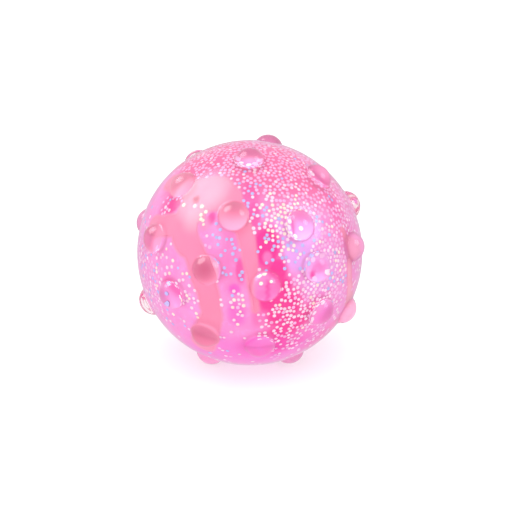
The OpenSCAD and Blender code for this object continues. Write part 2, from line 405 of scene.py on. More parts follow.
def fill_nubs(directions):
    """How far the gel rises into the filled nubs, and how peach, dusky and milky it is, from 0 to 1."""
    rise = np.zeros(len(directions))
    tints = np.zeros((3, len(directions)))
    for height, bearing, *strengths in FILLED_NUBS:
        away = distances(directions, outward((height, bearing)))
        share = smooth_step((FILL_REACH - away) / FILL_SLOPE)
        rise = np.maximum(rise, share)
        tints = np.maximum(tints, np.outer(strengths, 1.0 - (1.0 - share) ** 3))
    return rise, tints


def foot_shade(directions):
    """Shade that the nubs' feet leave on the gel, from 0 to 1."""
    total = np.zeros(len(directions))
    for place in FRONT_NUBS + BACK_NUBS:
        away = distances(directions, outward(place))
        strength = FAINT_FOOT if place in FAINT_FEET else 1.0
        ring = smooth_step(1.0 - np.abs(away - FOOT_RING) / FOOT_RING_WIDTH)
        total = np.maximum(total, strength * ring)
    return total


def icosphere(levels):
    """Vertices and triangles of a unit icosphere."""
    shape = bmesh.new()
    bmesh.ops.create_icosphere(shape, subdivisions=levels, radius=1.0)
    points = np.array([vert.co[:] for vert in shape.verts])
    faces = [tuple(vert.index for vert in face.verts) for face in shape.faces]
    shape.free()
    return points, faces


def hollow(outside, outside_faces, inside, inside_faces):
    """Points and faces of a shell, from the points and faces of its outside and its inside."""
    count = len(outside)
    turned = [tuple(count + index for index in reversed(face)) for face in inside_faces]
    return np.vstack((outside, inside)), outside_faces + turned


def make_object(name, points, faces, smooth=True):
    """New object at the origin from points in metres."""
    mesh = bpy.data.meshes.new(name)
    mesh.from_pydata([tuple(point) for point in points], [], faces)
    if smooth:
        mesh.shade_smooth()
    mesh.update()
    piece = bpy.data.objects.new(name, mesh)
    bpy.context.collection.objects.link(piece)
    return piece


def modified_mesh(piece):
    """New mesh of an object with its modifiers applied."""
    graph = bpy.context.evaluated_depsgraph_get()
    return bpy.data.meshes.new_from_object(piece.evaluated_get(graph))


def discard(piece):
    """Removes a helper object and its mesh."""
    mesh = piece.data
    bpy.data.objects.remove(piece)
    bpy.data.meshes.remove(mesh)


def store_value(mesh, name, values):
    """Keeps one number for each vertex on the mesh."""
    layer = mesh.attributes.new(name, "FLOAT", "POINT")
    layer.data.foreach_set("value", np.asarray(values, dtype=np.float32))


def set_sockets(node, **values):
    """Sets plain values on a node's inputs; an underscore stands for a space."""
    for name, value in values.items():
        node.inputs[name.replace("_", " ")].default_value = value


def colour(values):
    """Colour with full alpha."""
    return (values[0], values[1], values[2], 1.0)


def new_material(name):
    """Material with a Principled shader, and its nodes, links, shader and output."""
    material = bpy.data.materials.new(name)
    material.use_nodes = True
    tree = material.node_tree
    tree.nodes.clear()
    output = tree.nodes.new("ShaderNodeOutputMaterial")
    shader = tree.nodes.new("ShaderNodeBsdfPrincipled")
    tree.links.new(shader.outputs["BSDF"], output.inputs["Surface"])
    return material, tree.nodes, tree.links, shader, output


def cloud_group():
    """Shader group: soft drifting clouds, for the gels' tints."""
    group = bpy.data.node_groups.get("gel_clouds")
    if group:
        return group
    group = bpy.data.node_groups.new("gel_clouds", "ShaderNodeTree")
    for name, default in (("Scale", 90.0), ("Drift", 1.5), ("Low", 0.4), ("High", 0.65)):
        socket = group.interface.new_socket(name, in_out="INPUT", socket_type="NodeSocketFloat")
        socket.default_value = default
    group.interface.new_socket("Mask", in_out="OUTPUT", socket_type="NodeSocketFloat")
    nodes = group.nodes
    links = group.links
    inputs = nodes.new("NodeGroupInput")
    outputs = nodes.new("NodeGroupOutput")
    place = nodes.new("ShaderNodeTexCoord")
    noise = nodes.new("ShaderNodeTexNoise")
    set_sockets(noise, Detail=4.0, Roughness=0.5)
    spread = nodes.new("ShaderNodeMapRange")
    spread.interpolation_type = "SMOOTHSTEP"
    links.new(place.outputs["Object"], noise.inputs["Vector"])
    links.new(inputs.outputs["Scale"], noise.inputs["Scale"])
    links.new(inputs.outputs["Drift"], noise.inputs["Distortion"])
    links.new(noise.outputs["Fac"], spread.inputs["Value"])
    links.new(inputs.outputs["Low"], spread.inputs["From Min"])
    links.new(inputs.outputs["High"], spread.inputs["From Max"])
    links.new(spread.outputs["Result"], outputs.inputs["Mask"])
    return group


def add_clouds(nodes, scale, drift, low, high):
    """Places the cloud group in a material."""
    clouds = nodes.new("ShaderNodeGroup")
    clouds.node_tree = cloud_group()
    set_sockets(clouds, Scale=scale, Drift=drift, Low=low, High=high)
    return clouds.outputs["Mask"]


def feed(links, socket, value):
    """Gives an input its value, a plain one or another node's socket."""
    if isinstance(value, bpy.types.NodeSocket):
        links.new(value, socket)
    else:
        socket.default_value = value


def combine(nodes, links, operation, first, second):
    """Result of a math node on two values, each a plain number or a socket."""
    node = nodes.new("ShaderNodeMath")
    node.operation = operation
    feed(links, node.inputs[0], first)
    feed(links, node.inputs[1], second)
    return node.outputs[0]


def mix_numbers(nodes, links, factor, first, second):
    """Mixes two values, each a plain number or a socket, by a factor socket."""
    mix = nodes.new("ShaderNodeMix")
    mix.data_type = "FLOAT"
    links.new(factor, mix.inputs["Factor"])
    feed(links, mix.inputs["A"], first)
    feed(links, mix.inputs["B"], second)
    return mix.outputs["Result"]


def mix_shaders(nodes, links, factor, first, second):
    """Mixes two shader sockets by a factor, a plain number or a socket."""
    mix = nodes.new("ShaderNodeMixShader")
    feed(links, mix.inputs["Fac"], factor)
    links.new(first, mix.inputs[1])
    links.new(second, mix.inputs[2])
    return mix.outputs["Shader"]


def mix_colours(nodes, links, factor, first, second, strength=1.0):
    """Mixes two colours, each a plain colour or a socket, by a factor socket."""
    if strength != 1.0:
        factor = combine(nodes, links, "MULTIPLY", factor, strength)
    mix = nodes.new("ShaderNodeMix")
    mix.data_type = "RGBA"
    links.new(factor, mix.inputs["Factor"])
    # Of the node's sockets, inputs 6 and 7 take the colours, and output 2 gives the mixed one.
    for socket, value in ((mix.inputs[6], first), (mix.inputs[7], second)):
        if isinstance(value, bpy.types.NodeSocket):
            links.new(value, socket)
        else:
            socket.default_value = colour(value)
    return mix.outputs[2]


def read_value(nodes, name):
    """Socket with a value kept on the mesh."""
    node = nodes.new("ShaderNodeAttribute")
    node.attribute_name = name
    return node.outputs["Fac"]


def skin_material(settings):
    """Clear pink rubber with a wet gloss."""
    material, nodes, links, shader, output = new_material("clear_pink_skin")
    set_sockets(shader, Base_Color=colour((1.0, 0.97, 0.98)), Roughness=0.02, IOR=SKIN_IOR,
                Transmission_Weight=1.0)
    place = nodes.new("ShaderNodeTexCoord")
    waves = nodes.new("ShaderNodeTexNoise")
    set_sockets(waves, Scale=140.0, Detail=2.0)
    bump = nodes.new("ShaderNodeBump")
    set_sockets(bump, Strength=0.04, Distance=0.0004)
    links.new(place.outputs["Object"], waves.inputs["Vector"])
    links.new(waves.outputs["Fac"], bump.inputs["Height"])
    links.new(bump.outputs["Normal"], shader.inputs["Normal"])
    tint = nodes.new("ShaderNodeVolumeAbsorption")
    set_sockets(tint, Color=colour(settings.tint), Density=settings.tint_density)
    links.new(tint.outputs["Volume"], output.inputs["Volume"])
    return material


def plug_material(settings):
    """Milky pink rubber, duller than the skin."""
    material, nodes, links, shader, _ = new_material("milky_plug")
    clouds = add_clouds(nodes, scale=300.0, drift=0.5, low=0.35, high=0.7)
    paler = tuple(0.85 * part + 0.12 for part in settings.tint)
    links.new(mix_colours(nodes, links, clouds, settings.tint, paler), shader.inputs["Base Color"])
    set_sockets(shader, Roughness=0.3, IOR=SKIN_IOR)
    return material


def core_material(settings):
    """Smooth peach gel, a little deeper in soft clouds, with paler spots that are partly painted highlight,
    and darker spots of painted shade with one dark dimple.
    """
    material, nodes, links, shader, _ = new_material("peach_gel")
    clouds = add_clouds(nodes, scale=45.0, drift=0.8, low=0.35, high=0.7)
    tinted = mix_colours(nodes, links, clouds, settings.peach, settings.peach_deep)
    # Paler spots, partly painted highlight, then darker spots of painted shade and one dark dimple
    paler = mix_colours(nodes, links, read_value(nodes, "bloom"), tinted, settings.bloom)
    dusky = mix_colours(nodes, links, read_value(nodes, "dusk"), paler, settings.dusk)
    links.new(dusky, shader.inputs["Base Color"])
    set_sockets(shader, Roughness=0.4, Specular_IOR_Level=0.0)
    return material


def pearl_material(settings):
    """Pearly gel that runs from lilac through warm pink and orchid to magenta, and to peach at the runs."""
    material, nodes, links, shader, _ = new_material("pearl_gel_swirl")
    clouds = add_clouds(nodes, scale=110.0, drift=2.0, low=0.38, high=0.66)
    swirl = mix_colours(nodes, links, clouds, settings.lilac, settings.rose, strength=0.55)
    shimmer = add_clouds(nodes, scale=750.0, drift=0.6, low=0.5, high=0.72)
    base = mix_colours(nodes, links, shimmer, swirl, settings.pale, strength=0.45)
    # Pale lilac patches, two of them painted reflection of a softbox's haze
    pale = mix_colours(nodes, links, read_value(nodes, "pale"), base, settings.pale)
    warm = mix_colours(nodes, links, read_value(nodes, "warm"), pale, settings.warm)
    deep = mix_colours(nodes, links, read_value(nodes, "magenta"), warm, settings.magenta)
    cool = mix_colours(nodes, links, read_value(nodes, "orchid"), deep, settings.orchid)
    edged = mix_colours(nodes, links, read_value(nodes, "edge"), cool, settings.peach)
    # Dusky tint of the filled nubs, together with painted shade in rings under the nubs' feet
    dusky = mix_colours(nodes, links, read_value(nodes, "dusk"), edged, settings.dusty_rose_and_foot_shade)
    # Milky tint of the filled nubs, together with painted highlight on two nubs
    milky = mix_colours(nodes, links, read_value(nodes, "milk"), dusky, settings.milky_pink_and_highlight)
    links.new(milky, shader.inputs["Base Color"])
    set_sockets(shader, Roughness=0.4, Specular_IOR_Level=0.0)
    return material


def flake_material(name, tint):
    """Pastel pearl glitter, each flake a little lighter or darker than the next."""
    material, nodes, links, shader, _ = new_material("glitter_flake_" + name)
    shade = tuple(part * FLAKE_SHADE for part in tint)
    tinted = mix_colours(nodes, links, read_value(nodes, "flake_shade"), tint, shade)
    links.new(tinted, shader.inputs["Base Color"])
    set_sockets(shader, Roughness=0.3, Metallic=0.1)
    return material


def skin_gap(points, nubs, nub_middle, nub_radius, fillet):
    """Signed distance from points to the skin's outside, with each nub's foot rounded."""
    ball = np.linalg.norm(points, axis=1) - BALL_RADIUS
    aim = points / np.linalg.norm(points, axis=1)[:, None]
    nearest = nubs[np.argmax(aim @ nubs.T, axis=1)]
    nub = np.linalg.norm(points - nearest * nub_middle, axis=1) - nub_radius
    return smooth_least(ball, nub, reach=fillet, swell=fillet)


def skin_form(settings):
    """Function that gives the signed distance of points, from the ball's middle, to the skin's outside."""
    nubs = nub_aims()
    seat = math.sqrt(BALL_RADIUS ** 2 - settings.nub_base ** 2 / 4)
    rise = BALL_RADIUS + settings.nub_height - seat
    nub_radius = (settings.nub_base ** 2 / 4 + rise ** 2) / (2 * rise)
    nub_middle = BALL_RADIUS + settings.nub_height - nub_radius
    return lambda points: skin_gap(points, nubs, nub_middle, nub_radius, settings.nub_fillet)


def slope(form, points):
    """Outward normals of a signed distance at points."""
    step = 1e-6
    normals = np.zeros_like(points)
    for axis in range(3):
        shift = np.zeros(3)
        shift[axis] = step
        normals[:, axis] = form(points + shift) - form(points - shift)
    return normals / np.linalg.norm(normals, axis=1)[:, None]


def skin_outside(settings):
    """Points and faces of the skin's outside, finer at the nubs."""
    form = skin_form(settings)
    nubs = nub_aims()
    shape = bmesh.new()
    bmesh.ops.create_icosphere(shape, subdivisions=SHOWN_LEVEL, radius=1.0)
    near = math.cos(FINE_REACH * settings.nub_base / 2 / BALL_RADIUS)
    middles = np.array([face.calc_center_median()[:] for face in shape.faces])
    middles /= np.linalg.norm(middles, axis=1)[:, None]
    fine = (middles @ nubs.T).max(axis=1) > near
    edges = {edge for face, is_fine in zip(shape.faces, fine) if is_fine for edge in face.edges}
    bmesh.ops.subdivide_edges(shape, edges=list(edges), cuts=1, use_grid_fill=True)
    bmesh.ops.triangulate(shape, faces=shape.faces[:])
    aims = np.array([vert.co[:] for vert in shape.verts])
    aims /= np.linalg.norm(aims, axis=1)[:, None]
    faces = [tuple(vert.index for vert in face.verts) for face in shape.faces]
    shape.free()
    low = np.full(len(aims), SEARCH_LOW * BALL_RADIUS)
    high = np.full(len(aims), BALL_RADIUS + SEARCH_HIGH * settings.nub_height)
    for _ in range(HALVINGS):
        middle = (low + high) / 2
        outside = form(aims * middle[:, None]) > 0
        high = np.where(outside, middle, high)
        low = np.where(outside, low, middle)
    points = aims * high[:, None] + np.array(CENTRE)
    points[:, 2] = np.maximum(points[:, 2], 0.0)
    return points, faces


def smooth_skin(piece, settings):
    """Gives the skin the exact normals of its form, and leaves the plug's seat and the flat foot sharp."""
    mesh = piece.data
    form = skin_form(settings)
    count = len(mesh.vertices)
    points = np.zeros(count * 3)
    mesh.vertices.foreach_get("co", points)
    points = points.reshape(count, 3) - np.array(CENTRE)
    away = np.linalg.norm(points, axis=1)
    gap = np.abs(form(points))
    exact = slope(form, points)
    inside = np.abs(away - settings.inner_radius) < ON_SURFACE
    exact[inside] = -points[inside] / away[inside][:, None]
    known = (gap < ON_SURFACE) | inside
    normals = []
    for face in mesh.polygons:
        smooth = all(known[index] for index in face.vertices)
        for index in face.vertices:
            normals.append(tuple(exact[index]) if smooth else tuple(face.normal))
    mesh.normals_split_custom_set(normals)


def lathe(profile, aim, steps=64):
    """Points and faces of a profile of radius and distance from the ball's middle, turned about an aim."""
    turn = Vector((0.0, 0.0, 1.0)).rotation_difference(Vector(aim))
    points = []
    rings = []
    for radius, height in profile:
        count = 1 if radius == 0.0 else steps
        rings.append([len(points) + step for step in range(count)])
        for step in range(count):
            angle = math.tau * step / steps
            place = Vector((radius * math.cos(angle), radius * math.sin(angle), height))
            points.append(CENTRE + turn @ place)
    faces = []
    for lower, upper in zip(rings, rings[1:]):
        for step in range(steps):
            after = (step + 1) % steps
            corners = [lower[step % len(lower)], lower[after % len(lower)],
                       upper[after % len(upper)], upper[step % len(upper)]]
            faces.append(tuple(dict.fromkeys(corners)))
    return points, faces


def cut_seat(piece, settings):
    """Cuts the filler plug's stepped seat into the skin."""
    head = settings.head_width / 2 + settings.gap
    shank = settings.shank_width / 2 + settings.gap
    floor = BALL_RADIUS - settings.head_depth - settings.gap
    profile = [(0.0, settings.foot), (shank, settings.foot), (shank, floor), (head, floor),
               (head, BALL_RADIUS + CUTTER_ABOVE), (0.0, BALL_RADIUS + CUTTER_ABOVE)]
    cutter = make_object("seat_cutter", *lathe(profile, outward(PLUG_AT)), smooth=False)
    modifier = piece.modifiers.new("seat", "BOOLEAN")
    modifier.operation = "DIFFERENCE"
    modifier.object = cutter
    mesh = modified_mesh(piece)
    piece.modifiers.remove(modifier)
    old = piece.data
    piece.data = mesh
    mesh.name = old.name
    bpy.data.meshes.remove(old)
    discard(cutter)


def finish_soft(piece, nodes):
    """Bakes a soft piece's placement into its mesh and hides the CAD parts that it replaces."""
    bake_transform(piece)
    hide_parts(*nodes)


def scatter_tree():
    """Geometry Nodes tree that scatters flakes over a film and keeps one colour of them."""
    tree = bpy.data.node_groups.get("glitter_scatter")
    if tree:
        return tree
    tree = bpy.data.node_groups.new("glitter_scatter", "GeometryNodeTree")
    tree.interface.new_socket("Film", in_out="INPUT", socket_type="NodeSocketGeometry")
    for name, kind in (("Spacing", "Float"), ("Density", "Float"), ("Flake Width", "Float"),
                       ("Flake Thickness", "Float"), ("Tilt", "Float"), ("Seed", "Int"),
                       ("Finish", "Material")):
        tree.interface.new_socket(name, in_out="INPUT", socket_type="NodeSocket" + kind)
    tree.interface.new_socket("Flakes", in_out="OUTPUT", socket_type="NodeSocketGeometry")
    nodes = tree.nodes
    links = tree.links
    inputs = nodes.new("NodeGroupInput")
    outputs = nodes.new("NodeGroupOutput")

    def value_on_film(name):
        node = nodes.new("GeometryNodeInputNamedAttribute")
        node.data_type = "FLOAT"
        node.inputs["Name"].default_value = name
        return node.outputs["Attribute"]

    def compare(operation, first, second):
        node = nodes.new("FunctionNodeCompare")
        node.data_type = "FLOAT"
        node.operation = operation
        links.new(first, node.inputs["A"])
        links.new(second, node.inputs["B"])
        return node.outputs["Result"]

    def random_number(kind, seed_step):
        node = nodes.new("FunctionNodeRandomValue")
        node.data_type = kind
        links.new(combine(nodes, links, "ADD", inputs.outputs["Seed"], seed_step), node.inputs["Seed"])
        return node

    spread = nodes.new("GeometryNodeDistributePointsOnFaces")
    spread.distribute_method = "POISSON"
    links.new(inputs.outputs["Film"], spread.inputs["Mesh"])
    links.new(inputs.outputs["Spacing"], spread.inputs["Distance Min"])
    links.new(inputs.outputs["Density"], spread.inputs["Density Max"])
    links.new(value_on_film("cover"), spread.inputs["Density Factor"])
    links.new(inputs.outputs["Seed"], spread.inputs["Seed"])

    # Of a random number's sockets, output 1 gives it, and inputs 2 and 3 are its least and most.
    draw = random_number("FLOAT", 1.0)
    too_low = compare("LESS_THAN", draw.outputs[1], value_on_film("share_from"))
    too_high = compare("GREATER_EQUAL", draw.outputs[1], value_on_film("share_to"))
    other = nodes.new("FunctionNodeBooleanMath")
    other.operation = "OR"
    links.new(too_low, other.inputs[0])
    links.new(too_high, other.inputs[1])
    keep = nodes.new("GeometryNodeDeleteGeometry")
    keep.domain = "POINT"
    links.new(spread.outputs["Points"], keep.inputs["Geometry"])
    links.new(other.outputs[0], keep.inputs["Selection"])

    shade = random_number("FLOAT", 2.0)
    mark = nodes.new("GeometryNodeStoreNamedAttribute")
    mark.data_type = "FLOAT"
    mark.domain = "POINT"
    mark.inputs["Name"].default_value = "flake_shade"
    links.new(keep.outputs["Geometry"], mark.inputs["Geometry"])
    links.new(shade.outputs[1], mark.inputs["Value"])

    half = combine(nodes, links, "MULTIPLY", inputs.outputs["Flake Width"], 0.5)
    flake = nodes.new("GeometryNodeMeshCylinder")
    flake.fill_type = "NGON"
    flake.inputs["Vertices"].default_value = FLAKE_SIDES
    links.new(half, flake.inputs["Radius"])
    links.new(inputs.outputs["Flake Thickness"], flake.inputs["Depth"])

    lean = random_number("FLOAT_VECTOR", 3.0)
    back_tilt = combine(nodes, links, "MULTIPLY", inputs.outputs["Tilt"], -1.0)
    least = nodes.new("ShaderNodeCombineXYZ")
    most = nodes.new("ShaderNodeCombineXYZ")
    most.inputs["Z"].default_value = math.tau
    for axis in ("X", "Y"):
        links.new(back_tilt, least.inputs[axis])
        links.new(inputs.outputs["Tilt"], most.inputs[axis])
    links.new(least.outputs["Vector"], lean.inputs["Min"])
    links.new(most.outputs["Vector"], lean.inputs["Max"])
    turn = nodes.new("FunctionNodeEulerToRotation")
    links.new(lean.outputs["Value"], turn.inputs["Euler"])
    turned = nodes.new("FunctionNodeRotateRotation")
    turned.rotation_space = "LOCAL"
    links.new(spread.outputs["Rotation"], turned.inputs["Rotation"])
    links.new(turn.outputs["Rotation"], turned.inputs["Rotate By"])

    size = random_number("FLOAT", 4.0)
    size.inputs[2].default_value, size.inputs[3].default_value = FLAKE_SIZES
    place = nodes.new("GeometryNodeInstanceOnPoints")
    links.new(mark.outputs["Geometry"], place.inputs["Points"])
    links.new(flake.outputs["Mesh"], place.inputs["Instance"])
    links.new(turned.outputs["Rotation"], place.inputs["Rotation"])
    links.new(size.outputs[1], place.inputs["Scale"])
    realize = nodes.new("GeometryNodeRealizeInstances")
    finish = nodes.new("GeometryNodeSetMaterial")
    links.new(place.outputs["Instances"], realize.inputs["Geometry"])
    links.new(realize.outputs["Geometry"], finish.inputs["Geometry"])
    links.new(inputs.outputs["Finish"], finish.inputs["Material"])
    links.new(finish.outputs["Geometry"], outputs.inputs["Flakes"])
    return tree


def scatter_flakes(name, film_points, film_faces, values, inputs):
    """Runs the scatter tree over the film and returns the flakes as a plain mesh object."""
    film = make_object(name + "_film", film_points, film_faces)
    for value_name, numbers in values.items():
        store_value(film.data, value_name, numbers)
    modifier = film.modifiers.new("scatter", "NODES")
    tree = scatter_tree()
    modifier.node_group = tree
    for item in tree.interface.items_tree:
        if item.in_out == "INPUT" and item.name in inputs:
            modifier[item.identifier] = inputs[item.name]
    mesh = modified_mesh(film)
    mesh.name = name
    piece = bpy.data.objects.new(name, mesh)
    bpy.context.collection.objects.link(piece)
    discard(film)
    return piece


def glitter_shares(directions):
    """Cover of glitter at each direction, and the shares of the four colours."""
    cover = np.full(len(directions), STRAY_COVER)
    shares = np.tile(np.array(STRAY_SHARES) * STRAY_WEIGHT, (len(directions), 1))
    for behind, zones in ((False, FRONT_GLITTER), (True, BACK_GLITTER)):
        for zone in zones:
            weight = patch_weight(directions, zone, behind)
            cover = np.maximum(cover, zone[4] * weight)
            shares += weight[:, None] * np.array(zone[5])
    shares /= shares.sum(axis=1)[:, None]
    cover = cover * np.clip((peach_distance(directions) - RUN_CLEARANCE) / CLEARANCE_FADE, 0.0, 1.0)
    for right, up, radius in CLEAR_SPOTS:
        cover[distances(directions, seen_direction(right, up)) < radius] = 0.0
    cover[fill_nubs(directions)[0] > 0.0] = 0.0
    return cover, shares


def add_single_flakes(mesh, name, settings):
    """Adds the single flakes of one colour to a mesh of scattered ones."""
    shape = bmesh.new()
    shape.from_mesh(mesh)
    for right, up, size, flake_name in SINGLE_FLAKES:
        if flake_name != name:
            continue
        aim = Vector(seen_direction(right, up))
        across = aim.orthogonal().normalized()
        along = aim.cross(across)
        rings = []
        for height in (-0.5, 0.5):
            middle = CENTRE + aim * (GEL_RADIUS + FILM_HEIGHT + height * settings.flake_thickness)
            ring = []
            for step in range(FLAKE_SIDES):
                angle = math.tau * step / FLAKE_SIDES
                spoke = across * math.cos(angle) + along * math.sin(angle)
                ring.append(shape.verts.new(middle + spoke * size * settings.flake_width / 2))
            rings.append(ring)
        shape.faces.new(reversed(rings[0]))
        shape.faces.new(rings[1])
        for step in range(FLAKE_SIDES):
            after = (step + 1) % FLAKE_SIDES
            shape.faces.new((rings[0][step], rings[0][after], rings[1][after], rings[1][step]))
    shape.to_mesh(mesh)
    shape.free()


def floor_material(settings):
    """Pale floor that keeps the ball's shadow, with a set brightness where gloss or glass shows it."""
    material, nodes, links, shader, output = new_material("pale_floor")
    set_sockets(shader, Base_Color=(0.93, 0.93, 0.93, 1.0), Roughness=0.9)
    path = nodes.new("ShaderNodeLightPath")
    through = path.outputs["Is Transmission Ray"]
    either = combine(nodes, links, "MAXIMUM", path.outputs["Is Glossy Ray"], through)
    after = nodes.new("ShaderNodeMapRange")
    set_sockets(after, From_Min=0.0, From_Max=1.0, To_Min=1.0, To_Max=settings.floor_glow)
    links.new(path.outputs["Diffuse Depth"], after.inputs["Value"])
    brightness = mix_numbers(nodes, links, through, settings.floor_gloss, after.outputs["Result"])
    glow = nodes.new("ShaderNodeEmission")
    links.new(brightness, glow.inputs["Strength"])
    white = nodes.new("ShaderNodeEmission")
    matt = shader.outputs["BSDF"]
    pale = mix_shaders(nodes, links, settings.floor_white, matt, white.outputs["Emission"])
    shown = mix_shaders(nodes, links, path.outputs["Is Camera Ray"], matt, pale)
    whole = mix_shaders(nodes, links, either, shown, glow.outputs["Emission"])
    links.new(whole, output.inputs["Surface"])
    return material


def studio_dome(settings):
    """World: a pale dome with a light overhead, and two soft boxes that only the gloss shows."""
    world = bpy.data.worlds.new("studio_dome")
    bpy.context.scene.world = world
    world.use_nodes = True
    world.cycles.sampling_method = "NONE"
    nodes = world.node_tree.nodes
    links = world.node_tree.links
    nodes.clear()
    output = nodes.new("ShaderNodeOutputWorld")
    background = nodes.new("ShaderNodeBackground")
    set_sockets(background, Color=(1.0, 1.0, 1.0, 1.0))
    links.new(background.outputs["Background"], output.inputs["Surface"])
    place = nodes.new("ShaderNodeTexCoord")
    path = nodes.new("ShaderNodeLightPath")

    def glow(aim, outer, inner, low, high):
        """Brightness that goes from low to high between two angles (degrees) off an aim."""
        facing = nodes.new("ShaderNodeVectorMath")
        facing.operation = "DOT_PRODUCT"
        links.new(place.outputs["Generated"], facing.inputs[0])
        facing.inputs[1].default_value = Vector(aim).normalized()
        fade = nodes.new("ShaderNodeMapRange")
        fade.interpolation_type = "SMOOTHSTEP"
        set_sockets(fade, From_Min=math.cos(math.radians(outer)), From_Max=math.cos(math.radians(inner)),
                    To_Min=low, To_Max=high)
        links.new(facing.outputs["Value"], fade.inputs["Value"])
        return fade.outputs["Result"]

    dome = glow(VIEW_NEAR, outer=65, inner=25, low=settings.dome_high, high=settings.dome_low)
    overhead = glow((-0.05, -0.45, 0.89), outer=62, inner=18, low=0.0, high=settings.overhead)
    dome = combine(nodes, links, "ADD", dome, overhead)
    left_box = glow((-0.62, 0.17, 0.76), outer=30, inner=6, low=0.0, high=settings.softbox)
    right_box = glow((0.80, -0.22, 0.56), outer=24, inner=5, low=0.0, high=settings.side_box)
    plain_gloss = glow(VIEW_NEAR, outer=80, inner=35, low=0.752, high=0.4)
    boxes = combine(nodes, links, "ADD", left_box, right_box)
    mirrored = combine(nodes, links, "ADD", plain_gloss, boxes)
    through = path.outputs["Is Transmission Ray"]
    undiffused = combine(nodes, links, "LESS_THAN", path.outputs["Diffuse Depth"], 0.5)
    first_glass = combine(nodes, links, "MULTIPLY", through, undiffused)
    plain = combine(nodes, links, "MAXIMUM", path.outputs["Is Camera Ray"], first_glass)
    lit = mix_numbers(nodes, links, plain, dome, 1.0)
    gloss = combine(nodes, links, "SUBTRACT", path.outputs["Is Glossy Ray"], through)
    shown = mix_numbers(nodes, links, gloss, lit, mirrored)
    links.new(shown, background.inputs["Strength"])


class SkinSettings(bpy.types.PropertyGroup):
    """Sizes and tint of the clear skin."""
    nub_base: bpy.props.FloatProperty(
        name="Nub width", description="Width of a nub where it meets the skin",
        default=9.0 * MM, min=4.0 * MM, max=10.0 * MM, unit="LENGTH", precision=4)
    nub_height: bpy.props.FloatProperty(
        name="Nub height", description="Height of a nub above the skin",
        default=2.9 * MM, min=1.0 * MM, max=3.6 * MM, unit="LENGTH", precision=4)
    nub_fillet: bpy.props.FloatProperty(
        name="Nub fillet", description="How softly a nub's foot runs into the skin",
        default=0.45 * MM, min=0.1 * MM, max=3.0 * MM, unit="LENGTH", precision=4)
    inner_radius: bpy.props.FloatProperty(
        name="Inner radius", description="Radius of the skin's inside, which the gel wets",
        default=GEL_RADIUS - 0.6 * MM, min=0.02, max=0.04, unit="LENGTH", precision=4)
    tint: bpy.props.FloatVectorProperty(
        name="Tint", description="Colour that thick rubber gives to light passing through it",
        default=(0.93, 0.3, 0.5), min=0.0, max=1.0, size=3, subtype="COLOR")
    tint_density: bpy.props.FloatProperty(
        name="Tint density", description="How quickly the rubber takes on its tint",
        default=7.0, min=0.0, max=500.0)


class PlugSettings(bpy.types.PropertyGroup):
    """Sizes and colour of the filler plug."""
    head_width: bpy.props.FloatProperty(
        name="Head width", description="Width of the plug's round head",
        default=6.4 * MM, min=4.0 * MM, max=8.0 * MM, unit="LENGTH", precision=4)
    head_depth: bpy.props.FloatProperty(
        name="Head depth", description="Depth of the plug's head below the skin's outside",
        default=1.2 * MM, min=0.6 * MM, max=1.6 * MM, unit="LENGTH", precision=4)
    shank_width: bpy.props.FloatProperty(
        name="Shank width", description="Width of the plug's shank",
        default=3.8 * MM, min=2.0 * MM, max=5.0 * MM, unit="LENGTH", precision=4)
    foot: bpy.props.FloatProperty(
        name="Foot", description="Distance from the ball's middle to the end of the plug's shank",
        default=GEL_RADIUS + 0.4 * MM, min=0.02, max=0.04, unit="LENGTH", precision=4)
    gap: bpy.props.FloatProperty(
        name="Gap", description="Gap between the plug and its seat",
        default=0.05 * MM, min=0.02 * MM, max=0.2 * MM, unit="LENGTH", precision=5)
    dimple: bpy.props.FloatProperty(
        name="Dimple", description="Depth of the dimple in the middle of the plug",
        default=0.7 * MM, min=0.0, max=0.8 * MM, unit="LENGTH", precision=5)
    tint: bpy.props.FloatVectorProperty(
        name="Tint", description="Colour of the plug",
        default=(0.74, 0.20, 0.40), min=0.0, max=1.0, size=3, subtype="COLOR")


